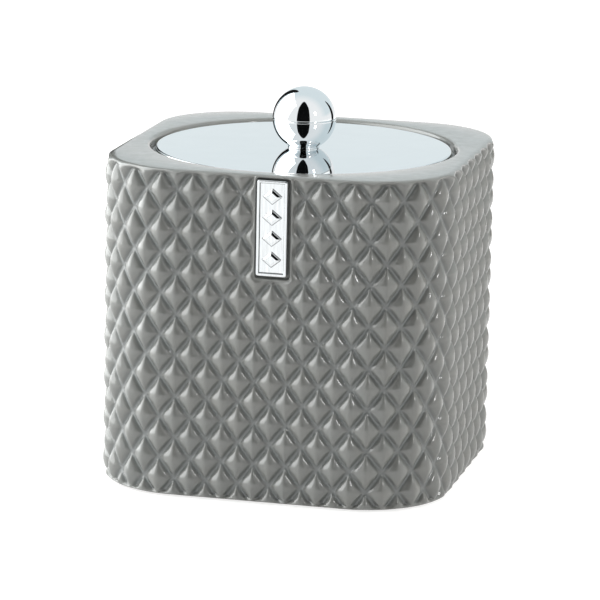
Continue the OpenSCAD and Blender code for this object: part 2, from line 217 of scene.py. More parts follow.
def link(name, points, faces, attributes=None):
    """Makes a smooth mesh object from points, arrays of faces as rows of point numbers, and point values."""
    mesh = bpy.data.meshes.new(name)
    mesh.vertices.add(len(points))
    mesh.vertices.foreach_set("co", np.asarray(points, np.float32).ravel())
    corners = np.concatenate([rows.ravel() for rows in faces]).astype(np.int32)
    sizes = np.concatenate([np.full(len(rows), rows.shape[1]) for rows in faces])
    starts = (np.cumsum(sizes) - sizes).astype(np.int32)
    mesh.loops.add(len(corners))
    mesh.loops.foreach_set("vertex_index", corners)
    mesh.polygons.add(len(sizes))
    mesh.polygons.foreach_set("loop_start", starts)
    mesh.polygons.foreach_set("use_smooth", np.ones(len(sizes), bool))
    mesh.update(calc_edges=True)
    for key, values in (attributes or {}).items():
        mesh.attributes.new(key, "FLOAT", "POINT").data.foreach_set("value", values.astype(np.float32))
    if mesh.validate():
        raise RuntimeError(f"the mesh of {name} has faults")
    piece = bpy.data.objects.new(name, mesh)
    bpy.context.scene.collection.objects.link(piece)
    return piece


def finish_piece(piece, material, slot, body, *nodes):
    """Gives a piece its material and the body that carries it, and hides the nodes it stands for. The slot is
    not used.
    """
    piece.data.materials.append(material)
    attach(piece, body)
    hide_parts(*nodes)
    return piece


def dress(node, material):
    """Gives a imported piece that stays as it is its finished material."""
    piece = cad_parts[node]
    piece.data.materials.clear()
    piece.data.materials.append(material)


def ring_faces(rings, slants=None):
    """Faces between neighbouring rings, seen from outside when the rings run counter-clockwise and upward.

    A ring of one point is a pole. Where one ring has several times the points of the other, each
    face takes that many of its edges. slants maps a ring's number to which of its faces are cut
    in two from their lower right to their upper left; its others are cut the other way.
    """
    faces = []
    start = 0
    for number, (low, high) in enumerate(zip(rings[:-1], rings[1:])):
        a, b = len(low), len(high)
        i = np.arange(min(a, b) if min(a, b) > 1 else max(a, b))
        near, far = start, start + a
        if a == 1:
            faces.append(np.stack([0 * i + near, far + (i + 1) % b, far + i], 1))
        elif b == 1:
            faces.append(np.stack([near + i, near + (i + 1) % a, 0 * i + far], 1))
        elif a == b:
            p, q = near + i, near + (i + 1) % a
            s, r = far + i, far + (i + 1) % b
            if slants is None or number not in slants:
                faces.append(np.stack([p, q, r, s], 1))
            else:
                left = slants[number]
                faces.append(np.stack([p, q, np.where(left, s, r)], 1))
                faces.append(np.stack([np.where(left, q, p), r, s], 1))
        elif a > b:
            k = a // b
            edge = [near + (k * i + n) % a for n in range(k + 1)]
            faces.append(np.stack([*edge, far + (i + 1) % b, far + i], 1))
        else:
            k = b // a
            edge = [far + (k * i + n) % b for n in range(k, -1, -1)]
            faces.append(np.stack([near + i, near + (i + 1) % a, *edge], 1))
        start = far
    return faces


def soften(corners, closed=False, steps=6):
    """An outline through corners of (x, y, radius), with each corner cut to an arc of its radius.

    The arc touches both sides of its corner at the radius over the tangent of half the corner's
    angle, and at less than half of its shorter side. It gets one more point a little before and
    after it, so that flat sides stay flat when shaded.
    """
    most, beyond = 0.47, 0.04
    count = len(corners)
    points = []
    for i, (x, y, radius) in enumerate(corners):
        here = np.array([x, y], float)
        if radius == 0 or (not closed and i in (0, count - 1)):
            points.append(here[None])
            continue
        back = np.array(corners[i - 1][:2]) - here
        ahead = np.array(corners[(i + 1) % count][:2]) - here
        room = min(np.linalg.norm(back), np.linalg.norm(ahead))
        back, ahead = back / np.linalg.norm(back), ahead / np.linalg.norm(ahead)
        half = np.arccos(np.clip(back @ ahead, -1, 1)) / 2
        reach = min(radius / tan(half), most * room)
        radius = reach * tan(half)
        middle = here + (back + ahead) / np.linalg.norm(back + ahead) * radius / sin(half)
        first, last = here + back * reach, here + ahead * reach
        swing = pi - 2 * half
        t = np.linspace(0, 1, steps + 1)[:, None]
        bend = np.sin((1 - t) * swing) * (first - middle) + np.sin(t * swing) * (last - middle)
        extra = beyond * reach
        points.append(np.vstack([first + back * extra, middle + bend / sin(swing), last + ahead * extra]))
    return np.vstack(points)


def flat_ring(inner, outer, low, high, inner_edge, outer_edge, steps=6):
    """The outline of a flat ring between two radii and two heights, with its edges rounded."""
    return soften([(inner, low, inner_edge), (outer, low, outer_edge), (outer, high, outer_edge),
                   (inner, high, inner_edge)], closed=True, steps=steps)


def revolved(outline, turns=192, middle=(0, 0)):
    """A solid of revolution about an upright axis. The outline holds (radius, height) points.

    It runs counter-clockwise in the half plane right of the axis. An outline that starts and ends on
    the axis gets a pole at each end, and any other one is closed into a tube.
    """
    angle = np.arange(turns) * 2 * pi / turns
    on_axis = 1e-9
    rings = []
    for radius, height in outline:
        if radius < on_axis:
            rings.append(np.array([[middle[0], middle[1], height]]))
        else:
            x, y = middle[0] + radius * np.cos(angle), middle[1] + radius * np.sin(angle)
            rings.append(np.stack([x, y, np.full(turns, height)], 1))
    loop = len(rings[0]) > 1
    faces = ring_faces(rings + rings[:1] if loop else rings)
    points = np.vstack(rings)
    if loop:
        faces = [rows % len(points) for rows in faces]
    return points, faces


def joined(parts):
    """The points and faces of several solids as one."""
    points, faces, start = [], [], 0
    for more, rows in parts:
        points.append(more)
        faces += [r + start for r in rows]
        start += len(more)
    return np.vstack(points), faces


def rounded_square(along, out, half, radius):
    """Points round a square with round corners, counter-clockwise from above.

    along is the distance round its outline from the middle of the front, and out is how far a point
    stands out from the outline. Each side is a flat and then a quarter circle, turned by a quarter.
    """
    flat = 2 * (half - radius)
    side = flat + radius * pi / 2
    turn = np.floor((along + flat / 2) / side)
    rest = along + flat / 2 - turn * side
    angle = np.maximum(0, rest - flat) / radius
    x = np.minimum(rest, flat) - flat / 2 + (radius + out) * np.sin(angle)
    y = radius - half - (radius + out) * np.cos(angle)
    c, s = np.cos(turn * pi / 2), np.sin(turn * pi / 2)
    return x * c - y * s, x * s + y * c


def from_tip(u, v):
    """Distances across and up from the nearest tip, in half diamonds.

    u and v count half diamonds across and up, and a tip stands wherever both are whole with an even
    sum. Turned by 45 degrees, the tips are whole numbers, and what rounding leaves is turned back.
    """
    a, b = (u + v) / 2, (u - v) / 2
    a, b = a - np.round(a), b - np.round(b)
    return a + b, a - b


def diamond_height(u, v, jar):
    """Height of the relief, from 0 in the valleys to 1 at the tips.

    1 less the distances across and up from the tip is 0 along the valleys. Each distance is a parabola
    near 0, which rounds the ridges and the tip. From a level floor the rise turns upward as a parabola
    and then runs straight to the tip. A share of it is a bulge: 1 less a power of what is left to rise.
    """
    across, up = (
        np.where(np.abs(d) < soft, d * d / (2 * soft) + soft / 2, np.abs(d))
        for d, soft in zip(from_tip(u, v), (jar.ridge, jar.crest))
    )
    inward = 1 - across - up
    turned = np.clip(inward, 0, jar.gully)
    rise = turned ** 2 / (2 * jar.gully) + np.maximum(inward - jar.gully, 0)
    rise = rise / (1 - (jar.ridge + jar.crest + jar.gully) / 2)
    return (1 - jar.swell) * rise + jar.swell * (1 - (1 - rise) ** jar.crisp)


def circle_at(angle, radius, height):
    """Points at a radius and height, each one a number or one value a point."""
    return np.stack([radius * np.cos(angle), radius * np.sin(angle), height + 0 * angle], 1)


class JarPlan:
    """Plan sizes of the jar, from its packed box and its property group, and the columns of its mesh."""

    def __init__(self, jar):
        low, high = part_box("ceramic_body")
        badge_low, badge_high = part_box("badge_plate")
        _, tape_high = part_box("badge_tape")
        self.foot, self.rim = low.z, high.z
        self.half = high.x - jar.relief
        self.radius = jar.corner - jar.relief
        flat = 2 * (self.half - self.radius)
        self.column = 4 * (flat + self.radius * pi / 2) / (2 * jar.diamonds)
        self.level = (self.rim - self.foot + jar.foot_cut) / (2 * jar.rows)
        self.middle = (badge_low.x + badge_high.x) / 2
        self.pocket_out = -tape_high.y - self.half
        gap = jar.pocket_gap
        self.pocket_x = (badge_low.x - gap, badge_high.x + gap + jar.slack_right)
        self.pocket_z = (badge_low.z - gap - jar.slack_below, badge_high.z + gap)
        self.mouth = high.x - jar.rim_width
        self.throat = self.mouth - jar.ledge_width
        self.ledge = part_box("lid_seal_ring")[0].z
        self.along = self.columns(jar)

    def columns(self, jar):
        """Distances round the jar of its points: even steps, with finer ones at the pocket's sides.

        Spare ones behind the jar, a fifth of a step apart, make their number a multiple of four,
        because the inside and the underside have a quarter of them.
        """
        even = np.arange(2 * jar.diamonds * jar.steps) / jar.steps - jar.diamonds
        even = self.middle + self.column * even
        fine = np.concatenate([self.pocket_x[0] + BESIDE_POCKET, self.pocket_x[1] - BESIDE_POCKET])
        clear = np.abs(even[:, None] - fine[None]).min(1) > LINE_GAP
        kept = np.sort(np.concatenate([even[clear], fine]))
        spare = self.column / jar.steps * 0.2 * np.arange(-len(kept) % 4, 0, -1)
        return np.concatenate([kept[:1] - spare, kept])

    def rows(self, jar):
        """Heights of the relief's rings: arcs at foot and rim, even steps, and finer ones at the pocket.

        Above the pocket the rim's arc is fine enough, so only the lines inside its top edge are added.
        """
        c, s = arc(8)
        foot = self.foot + jar.foot_round * (1 - c)
        rim = self.rim - jar.rim_round * (1 - s)
        step = self.level / jar.steps
        near = 0.3 * step
        even = self.foot - jar.foot_cut + step * np.arange(2 * jar.rows * jar.steps + 1)
        inside = BESIDE_POCKET[BESIDE_POCKET > 0]
        fine = np.concatenate([self.pocket_z[0] + BESIDE_POCKET, self.pocket_z[1] - inside])
        even = even[(even > foot[-1] + near) & (even < rim[0] - near)]
        even = even[np.abs(even[:, None] - fine[None]).min(1) > LINE_GAP]
        clear = np.abs(rim[:, None] - fine[None]).min(1) > ARC_GAP
        clear[-1] = True
        return np.sort(np.concatenate([foot, even, fine, rim[clear]]))


def tip_out(plan, jar, z):
    """How far the tips stand out from the valleys at a height: the relief, less the turn of rim and foot.

    Each turn is a quarter circle: its radius less the root of the radius squared less the height squared.
    """

    def turned(radius, up):
        return radius - np.sqrt(radius ** 2 - np.clip(up, 0, radius) ** 2)

    rim = turned(jar.rim_round, z - plan.rim + jar.rim_round)
    foot = turned(jar.foot_round, plan.foot + jar.foot_round - z)
    return jar.relief - rim - foot


def jar_relief(plan, jar):
    """Outer rings of the jar, their points' shares inward from the valleys, and how each face is cut in two.

    The skin stands out from the valleys by the tips' distance less the relief's depth, which runs
    out at the rim and the foot. Round the badge the smooth lip and then the pocket take its place,
    by the signed distance to the pocket's rounded outline.
    """
    rows = plan.rows(jar)
    along, z = np.meshgrid(plan.along, rows)
    u = (along - plan.middle) / plan.column
    v = (z - plan.foot + jar.foot_cut) / plan.level
    height = diamond_height(u, v, jar)
    inward = 1 - sum(np.abs(d) for d in from_tip(u, v))
    level_rim = 0.3 * MM
    depth = smooth(0, jar.foot_fade, z - plan.foot) * smooth(level_rim, jar.rim_fade, plan.rim - z)
    tips = tip_out(plan, jar, z)
    out = tips - jar.relief * depth * (1 - height)

    middle = (sum(plan.pocket_x) / 2, sum(plan.pocket_z) / 2)
    width = (plan.pocket_x[1] - plan.pocket_x[0]) / 2 - jar.pocket_corner
    tall = (plan.pocket_z[1] - plan.pocket_z[0]) / 2 - jar.pocket_corner
    side, up = np.abs(along - middle[0]) - width, np.abs(z - middle[1]) - tall
    apart = np.hypot(np.maximum(side, 0), np.maximum(up, 0)) + np.minimum(np.maximum(side, up), 0)
    apart = apart - jar.pocket_corner
    lip = np.minimum(jar.relief - jar.lip_drop, tips)
    out = out + (lip - out) * smooth(jar.lip_width + LIP_BLEND, jar.lip_width - LIP_BLEND, apart)
    out = out - LIP_SINK * smooth(LIP_BLEND, 0, apart) ** 2
    out = out + (plan.pocket_out - out) * smooth(*POCKET_DROP, apart)
    inward = 1 - depth * smooth(jar.lip_width, 2 * jar.lip_width, apart) * (1 - inward)

    x, y = rounded_square(along, out, plan.half, plan.radius)
    rings = list(np.stack([x, y, z], 2))
    across, higher = from_tip((u[:-1] + np.roll(u[:-1], -1, 1)) / 2, (v[:-1] + v[1:]) / 2)
    return rings, inward, across * higher > 0


def jar_inside(plan, jar):
    """Rings from the rim's top in over the mouth, down the throat and round the jar's inside to its floor.

    Each has a quarter of an outer ring's points. The mouth and the throat are circles. Below the
    shoulder the rings are the outline drawn in, and each column's arc of the shoulder stops where it
    meets the throat, a hair away from the throat's last ring, so that no face is empty.
    """
    along = plan.along[::4]
    x, y = rounded_square(along, 0 * along, plan.half, plan.radius)
    x1, y1 = rounded_square(along, 0 * along + MM, plan.half, plan.radius)
    nx, ny = (x1 - x) / MM, (y1 - y) / MM
    high_angle = np.arctan2(y, x)
    lean = x * nx + y * ny
    throat_out = -lean + np.sqrt(lean ** 2 - (x ** 2 + y ** 2 - plan.throat ** 2))
    inset = np.clip(-throat_out - jar.wall, 0, jar.inner_round)
    low_angle = np.arctan2(y + ny * throat_out, x + nx * throat_out)
    low_angle = high_angle + (low_angle - high_angle + pi) % (2 * pi) - pi
    swing = np.arccos(1 - inset / jar.inner_round)
    shoulder = plan.ledge - jar.shoulder
    throat_low = shoulder - jar.inner_round * (1 - np.sin(swing))
    hair_down, hair_out = 0.02 * MM, 0.05 * MM

    def drawn_in(out, height):
        return np.stack([x + nx * out, y + ny * out, height + 0 * along], 1)

    # The rim's inner edge, the ledge with a soft turn on each side, and the throat
    edge, soft = jar.mouth_round, jar.ledge_round
    rings = [circle_at(high_angle, plan.mouth + edge * (1 - s), plan.rim - edge * (1 - c))
             for c, s in zip(*arc(7))]
    rings += [circle_at(high_angle, plan.mouth - soft * (1 - c), plan.ledge + soft * (1 - s))
              for c, s in zip(*arc(4))]
    rings += [circle_at(high_angle, plan.throat + soft * (1 - s), plan.ledge - soft * (1 - c))
              for c, s in zip(*arc(4))]
    rings += [circle_at(high_angle + (low_angle - high_angle) * t, plan.throat,
                        (plan.ledge - soft) * (1 - t) + (throat_low - hair_down) * t)
              for t in np.arange(1, 6) / 5]
    # The shoulder's arc up to the throat, the wall, and the arc down to the floor
    rings.append(circle_at(low_angle, plan.throat + hair_out, throat_low))
    rings += [drawn_in(-jar.wall - jar.inner_round * (1 - np.cos(swing * t)),
                       shoulder - jar.inner_round * (1 - np.sin(swing * t)))
              for t in np.linspace(1, 0, 8)]
    floor = plan.foot + jar.floor
    rings += [drawn_in(-jar.wall - jar.inner_round * (1 - c), floor + jar.inner_round * (1 - s))
              for c, s in zip(*arc(8))]
    return rings + inward_to(rings[-1])[1:]


def inward_to(ring):
    """A level ring, two smaller ones inside it and a point on the axis."""
    return [ring, ring * [0.66, 0.66, 1], ring * [0.33, 0.33, 1], np.array([[0, 0, ring[0, 2]]])]


def jar_underside(plan, jar):
    """Rings from the middle of the recess in the underside out to the flat ring of the foot."""
    along = plan.along[::4]
    roof = plan.foot + jar.recess
    soft, beyond = jar.recess_round, 0.3 * MM

    def drawn_in(out, height):
        x, y = rounded_square(along, out + 0 * along, plan.half, plan.radius)
        return np.stack([x, y, height + 0 * along], 1)

    rings = inward_to(drawn_in(-jar.foot_width - soft - beyond, roof))[::-1]
    rings += [drawn_in(-jar.foot_width - soft * (1 - s), roof - soft * (1 - c)) for c, s in zip(*arc(4))]
    rings += [drawn_in(-jar.foot_width + soft * (1 - c), plan.foot + soft * (1 - s)) for c, s in zip(*arc(4))]
    return rings + [drawn_in(-jar.foot_width + soft + beyond, plan.foot)]


def make_jar(jar, finish):
    """The glazed jar as one closed skin: underside, relief, rim, mouth, throat and inside.

    Its points carry how far inward from the valleys they are, and whether they are bare clay.
    """
    plan = JarPlan(jar)
    under = jar_underside(plan, jar)
    outer, inward, slant = jar_relief(plan, jar)
    inner = jar_inside(plan, jar)
    rings = under + outer + inner
    slants = {len(under) + i: slant[i] for i in range(len(outer) - 1)}
    points = np.vstack(rings)
    plain = np.ones(sum(map(len, under)))
    inward = np.concatenate([plain, inward.ravel(), np.ones(sum(map(len, inner)))])
    clay_height = 0.15 * MM
    bare = (points[:, 2] < plan.foot + clay_height).astype(float)
    piece = link("jar_body", points, ring_faces(rings, slants), {"inward": inward, "bare": bare})
    finish_piece(piece, glaze(finish), "grey_glaze", "jar", "ceramic_body")


class Nodes:
    """The nodes of a new material or world, and functions that add to them."""

    def __init__(self, owner):
        owner.use_nodes = True
        self.owner = owner
        self.join = owner.node_tree.links.new
        owner.node_tree.nodes.clear()

    def add(self, kind, **values):
        """A new node, with its own settings and its named inputs set."""
        node = self.owner.node_tree.nodes.new(kind)
        for key, value in values.items():
            if hasattr(node, key):
                setattr(node, key, value)
            else:
                node.inputs[key.replace("_", " ")].default_value = value
        return node

    def place(self):
        """The socket with a point's place on the object, in metres."""
        return self.add("ShaderNodeTexCoord").outputs["Object"]

    def attribute(self, name):
        """The socket with a value that the mesh carries at its points."""
        return self.add("ShaderNodeAttribute", attribute_name=name).outputs["Fac"]

    def noise(self, scale, detail=2.0, roughness=0.55, stretch=None):
        """A noise value from 0 to 1 with so many features a metre, drawn out where stretch is below 1."""
        where = self.place()
        if stretch:
            mapping = self.add("ShaderNodeMapping", Scale=stretch)
            self.join(where, mapping.inputs["Vector"])
            where = mapping.outputs["Vector"]
        node = self.add("ShaderNodeTexNoise", Scale=scale, Detail=detail, Roughness=roughness)
        self.join(where, node.inputs["Vector"])
        return node.outputs["Fac"]

    def between(self, value, span, to, kind="LINEAR"):
        """A value carried from one span to another, straight or as a smooth step, and held at its ends."""
        node = self.add("ShaderNodeMapRange", interpolation_type=kind,
                        From_Min=span[0], From_Max=span[1], To_Min=to[0], To_Max=to[1])
        self.join(value, node.inputs["Value"])
        return node.outputs["Result"]

    def combined(self, operation, first, second):
        """Two values put together by a math operation, and held between 0 and 1."""
        node = self.add("ShaderNodeMath", operation=operation, use_clamp=True)
        self.join(first, node.inputs[0])
        self.join(second, node.inputs[1])
        return node.outputs[0]

    def mixed(self, share_of, first, second):
        """A mix of two colours, each one a colour or a socket, by a value from 0 to 1."""
        node = self.add("ShaderNodeMix", data_type="RGBA")
        colours = [socket for socket in node.inputs if socket.type == "RGBA"]
        self.join(share_of, node.inputs[0])
        for socket, value in zip(colours, (first, second)):
            if isinstance(value, bpy.types.NodeSocket):
                self.join(value, socket)
            else:
                socket.default_value = (*value, 1)
        return next(socket for socket in node.outputs if socket.type == "RGBA")

    def raised(self, heights):
        """The normal of a surface bumped by values, each with its height in metres."""
        normal = None
        for value, height in heights:
            node = self.add("ShaderNodeBump", Distance=height)
            self.join(value, node.inputs["Height"])
            if normal is not None:
                self.join(normal, node.inputs["Normal"])
            normal = node.outputs["Normal"]
        return normal

    def surface(self, colour_of, rough=None, heights=(), **values):
        """Gives the material a Principled shader with its looks joined and its named inputs set."""
        shader = self.add("ShaderNodeBsdfPrincipled", **values)
        self.join(colour_of, shader.inputs["Base Color"])
        if rough is not None:
            self.join(rough, shader.inputs["Roughness"])
        if heights:
            normal = self.raised(heights)
            self.join(normal, shader.inputs["Normal"])
            self.join(normal, shader.inputs["Coat Normal"])
        self.join(shader.outputs["BSDF"], self.add("ShaderNodeOutputMaterial").inputs["Surface"])
        return self.owner

    def split(self, output, rest, seen):
        """Joins to an output what camera, glossy and transmitted rays see, and what the rest do."""
        path = self.add("ShaderNodeLightPath").outputs
        rays = self.combined("ADD", path["Is Camera Ray"], path["Is Glossy Ray"])
        rays = self.combined("ADD", rays, path["Is Transmission Ray"])
        chosen = self.add("ShaderNodeMixShader")
        for value, socket in zip((rays, rest, seen), chosen.inputs):
            self.join(value, socket)
        self.join(chosen.outputs[0], self.add(output).inputs["Surface"])
        return self.owner


def new_material(name):
    """The nodes of a new material."""
    return Nodes(bpy.data.materials.new(name))


def dimmed(colour_of, factor):
    """A colour with each part times a factor."""
    return tuple(factor * part for part in colour_of)


def glaze(finish):
    """Grey glaze, darker in the valleys from pooling and from painted shade, that thins over the tips, and
    bare clay on the foot.

    The attribute inward is 0 along the valleys and 1 at the tips, and each diamond's edge steps up on
    it. Soft clouds are cooler, fine specks are darker, and the gloss under the clear surface wanders.
    """
    nodes = new_material("grey_glaze")
    inward, bare = nodes.attribute("inward"), nodes.attribute("bare")
    # Darker in the valleys: glaze pooling, with painted shade of the channels in it
    pooled_and_shaded = nodes.between(inward, (0.08, 0.24), (finish.pool, 0))
    thin = nodes.between(inward, (0.3, 0.9), (0, finish.thinning))
    cloud = nodes.between(nodes.noise(140), (0.3, 0.7), (0, 0.35))
    speck = nodes.between(nodes.noise(2600), (0.62, 0.78), (0, 0.25))
    tone = nodes.mixed(pooled_and_shaded, finish.glaze, finish.glaze_pool_and_shade)
    for value, over in ((thin, finish.glaze_thin), (cloud, finish.glaze_cool), (speck, finish.glaze_pool_and_shade),
                        (bare, finish.clay)):
        tone = nodes.mixed(value, tone, over)

    clay_rough, swing = 0.85, 0.2
    gloss = ((1 - swing) * finish.gloss, (1 + swing) * finish.gloss)
    fired = nodes.between(nodes.noise(300, detail=3), (0.3, 0.7), gloss)
    rough = nodes.add("ShaderNodeMix", data_type="FLOAT", B=clay_rough)
    nodes.join(bare, rough.inputs["Factor"])
    nodes.join(fired, rough.inputs["A"])

    edge = nodes.between(inward, finish.edge_span, (0, 1), "SMOOTHSTEP")
    ripple, grain = (nodes.noise(420), 0.014 * MM), (nodes.noise(3200), 0.002 * MM)
    return nodes.surface(tone, rough.outputs["Result"], [(edge, finish.edge_step), ripple, grain],
                         Coat_Weight=1.0, Coat_Roughness=finish.surface, Coat_IOR=1.5, IOR=1.45)


def plating(finish):
    """Mirror-bright plating with a faint haze and long fine scratches."""
    nodes = new_material("polished_plating")
    haze = nodes.between(nodes.noise(90, detail=4), (0.35, 0.75), (0, 0.5))
    scratches = nodes.noise(900, roughness=0.6, stretch=(1, 0.06, 1))
    return nodes.surface(nodes.mixed(haze, finish.plating, finish.plating_worn),
                         nodes.between(scratches, (0.3, 0.8), (0.02, 0.035)),
                         [(nodes.noise(60, detail=1), 0.004 * MM)], Metallic=1.0)


def badge_plating(finish):
    """The plating with a fine satin grain, and painted shade in the steps of the badge's face."""
    nodes = new_material("badge_plating")
    grain = nodes.noise(1500, roughness=0.6, stretch=(1, 1, 0.08))
    bright = nodes.mixed(grain, finish.plating, dimmed(finish.plating, 0.7))
    # The steps darken with painted shade, by the value that the badge's mesh carries
    return nodes.surface(nodes.mixed(nodes.attribute("painted_step_shade"), bright, finish.painted_step_shade),
                         nodes.between(grain, (0.3, 0.8), (0.06, 0.16)), [(grain, 0.003 * MM)], Metallic=1.0)


def steel(finish):
    """Plain sheet steel with rolled grain."""
    nodes = new_material("plain_steel")
    grain = nodes.noise(700, detail=3, roughness=0.6, stretch=(1, 0.05, 1))
    return nodes.surface(nodes.mixed(grain, finish.steel, dimmed(finish.steel, 0.7)),
                         nodes.between(grain, (0.3, 0.7), (0.22, 0.38)), [(grain, 0.006 * MM)], Metallic=1.0)


def silicone(finish):
    """Milky soft silicone, slightly cloudy, with a satin surface."""
    nodes = new_material("milky_silicone")
    cloud = nodes.noise(260, detail=3)
    return nodes.surface(nodes.mixed(cloud, finish.silicone, dimmed(finish.silicone, 0.82)),
                         nodes.between(cloud, (0.3, 0.7), (0.38, 0.55)), [(nodes.noise(1800), 0.01 * MM)],
                         Subsurface_Weight=0.35, Subsurface_Scale=2 * MM, IOR=1.41)


def foam(finish):
    """Dark closed-cell foam."""
    nodes = new_material("dark_foam")
    cells = nodes.add("ShaderNodeTexVoronoi", Scale=4000)
    nodes.join(nodes.place(), cells.inputs["Vector"])
    depth = cells.outputs["Distance"]
    return nodes.surface(nodes.mixed(depth, dimmed(finish.foam, 2.5), finish.foam),
                         nodes.between(depth, (0, 0.8), (0.7, 0.95)), [(depth, 0.05 * MM)])


def make_pads(metal, finish):
    """Four soft pads, each a disc with soft edges, stuck in the recess."""
    low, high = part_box("foot_pads")
    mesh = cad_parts["foot_pads"].data
    points = np.empty((len(mesh.vertices), 3))
    mesh.vertices.foreach_get("co", points.ravel())
    right = points[:, 0][points[:, 0] > 0]
    half, edge = (right.max() - right.min()) / 2, metal.pad_edge
    at = high.x - half
    outline = soften([(0, low.z, 0), (half, low.z, edge), (half, high.z, edge), (0, high.z, 0)])
    pads = [revolved(outline, 64, (i * at, j * at)) for i in (-1, 1) for j in (-1, 1)]
    piece = link("soft_pads", *joined(pads))
    finish_piece(piece, silicone(finish), "soft_clear", "jar", "foot_pads")


def badge_height(x, z, metal, width, tall):
    """Height of the badge's face above its field, and the painted shade in its steps, over its own middle.

    The border is raised where the distance in from the edge is less than its width. Each lozenge is
    raised where the sum of the shares of its half width and half height is below 1, by a smooth step
    and then a low roof. The painted shade is 4 times a step's height times what is left of it, so it is 1
    in the middle of a step and 0 off it.
    """
    step_share, roof_share, roof = 0.55, 0.45, 8 * metal.badge_edge
    inward = np.minimum(width / 2 - np.abs(x), tall / 2 - np.abs(z))
    edge = metal.badge_edge
    border = smooth(metal.border + edge, metal.border - edge, inward)
    pitch = (tall - 4 * metal.border) / metal.lozenges
    offset = (metal.lozenges - 1) / 2
    number = np.clip(np.round(z / pitch + offset), 0, metal.lozenges - 1) - offset
    half_width = width / 2 - 2 * metal.border
    up = np.abs(z - number * pitch) / (pitch / 2 - metal.border)
    inside = (1 - np.abs(x) / half_width - up) * half_width
    step = smooth(-edge, edge, inside)
    lozenge = step * step_share + roof_share * smooth(edge, roof, inside)
    # Painted shade on the walls of the steps, strongest midway up each step
    painted_step_shade = 4 * np.maximum(border * (1 - border), step * (1 - step))
    return metal.border_height * np.maximum(border, lozenge), painted_step_shade


def make_badge(metal, finish):
    """The badge: a plate whose face is a grid raised into a border and lozenges, with soft edges.

    Its corners are rounded by drawing each grid point in by its shares of the corner's square, and
    its walls and its back, a fan round the middle, close it behind.
    """
    low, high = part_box("badge_plate")
    width, tall = high.x - low.x, high.z - low.z
    middle = ((low.x + high.x) / 2, (low.z + high.z) / 2)
    edge, grid_step = metal.badge_edge, 0.14 * MM

    def lines(size):
        """Grid lines across a size: close together at the edges and the border's step, and even between."""
        near = np.array([0, 0.01, 0.25, 0.6, 1.0]) * edge
        rim = metal.border + np.linspace(-1.5, 1.5, 9) * edge
        first = np.concatenate([near, rim[rim > edge * 1.5]])
        inner = np.linspace(first[-1], size - first[-1], int((size - 2 * first[-1]) / grid_step))
        return np.concatenate([first, inner[1:-1], (size - first)[::-1]]) - size / 2

    x, z = np.meshgrid(lines(width), lines(tall))
    inward = np.minimum(width / 2 - np.abs(x), tall / 2 - np.abs(z))
    bevel = edge - np.sqrt(np.maximum(edge ** 2 - np.maximum(edge - inward, 0) ** 2, 0))
    raised_by, painted_step_shade = badge_height(x, z, metal, width, tall)
    face = high.y - low.y - metal.border_height + raised_by - bevel
    corner = metal.badge_corner
    side = np.clip(np.abs(x) - (width / 2 - corner), 0, corner) / corner
    up = np.clip(np.abs(z) - (tall / 2 - corner), 0, corner) / corner
    px = x - np.sign(x) * corner * side * (1 - np.sqrt(1 - up ** 2 / 2))
    pz = z - np.sign(z) * corner * up * (1 - np.sqrt(1 - side ** 2 / 2))
    front = np.stack([px + middle[0], high.y - face, pz + middle[1]], 2)
    rows, columns = x.shape
    number = np.arange(rows * columns).reshape(rows, columns)
    cells = np.stack([number[:-1, :-1], number[:-1, 1:], number[1:, 1:], number[1:, :-1]], 2).reshape(-1, 4)
    loop = np.concatenate([number[0, :-1], number[:-1, -1], number[-1, :0:-1], number[:0:-1, 0]])
    points = front.reshape(-1, 3)
    back = points[loop] * [1, 0, 1] + [0, high.y, 0]
    count, around = len(points), len(loop)
    i = np.arange(around)
    after = (i + 1) % around
    walls = np.stack([loop, count + i, count + after, loop[after]], 1)
    fan = np.stack([0 * i + count + around, count + after, count + i], 1)
    points = np.vstack([points, back, [[middle[0], high.y, middle[1]]]])
    painted_step_shade = np.concatenate([painted_step_shade.ravel(), np.zeros(around + 1)])
    piece = link("badge", points, [cells, walls, fan], {"painted_step_shade": painted_step_shade})
    finish_piece(piece, badge_plating(finish), "polished_metal", "jar", "badge_plate")
    dress("badge_tape", foam(finish))


def make_lid(metal, finish):
    """The lid plate, the pressed skirt and the soft ring, each an outline turned about the axis."""
    low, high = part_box("lid_plate")
    hole, hole_edge = metal.screw / 2 + metal.screw_gap, 0.1 * MM
    outline = flat_ring(hole, high.x, low.z, high.z, hole_edge, metal.lid_edge, steps=8)
    piece = link("lid_disc", *revolved(outline, 256))
    finish_piece(piece, plating(finish), "polished_metal", "lid", "lid_plate")

    low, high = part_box("lid_skirt")
    wall, flange = metal.skirt_wall, high.x - metal.flange
    edge = wall / 2.2  # A little less than half of the sheet, so that its edges come out round
    outline = soften([(flange, high.z - wall, edge), (high.x - wall, high.z - wall, wall / 2),
                      (high.x - wall, low.z, edge), (high.x, low.z, edge),
                      (high.x, high.z, wall / 4), (flange, high.z, edge)], closed=True)
    piece = link("lid_collar", *revolved(outline))
    finish_piece(piece, steel(finish), "steel", "lid", "lid_skirt")

    ring_low, ring_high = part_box("lid_seal_ring")
    edge = metal.ring_edge
    outline = flat_ring(high.x, ring_high.x, ring_low.z, ring_high.z, edge, edge)
    piece = link("soft_ring", *revolved(outline))
    finish_piece(piece, silicone(finish), "soft_clear", "lid", "lid_seal_ring")


def ball_arc(radius, height, first, last, steps=40):
    """Points of a ball's outline between two angles above its equator, in degrees."""
    c, s = arc(steps, first, last)
    return np.stack([radius * c, height + radius * s], 1)


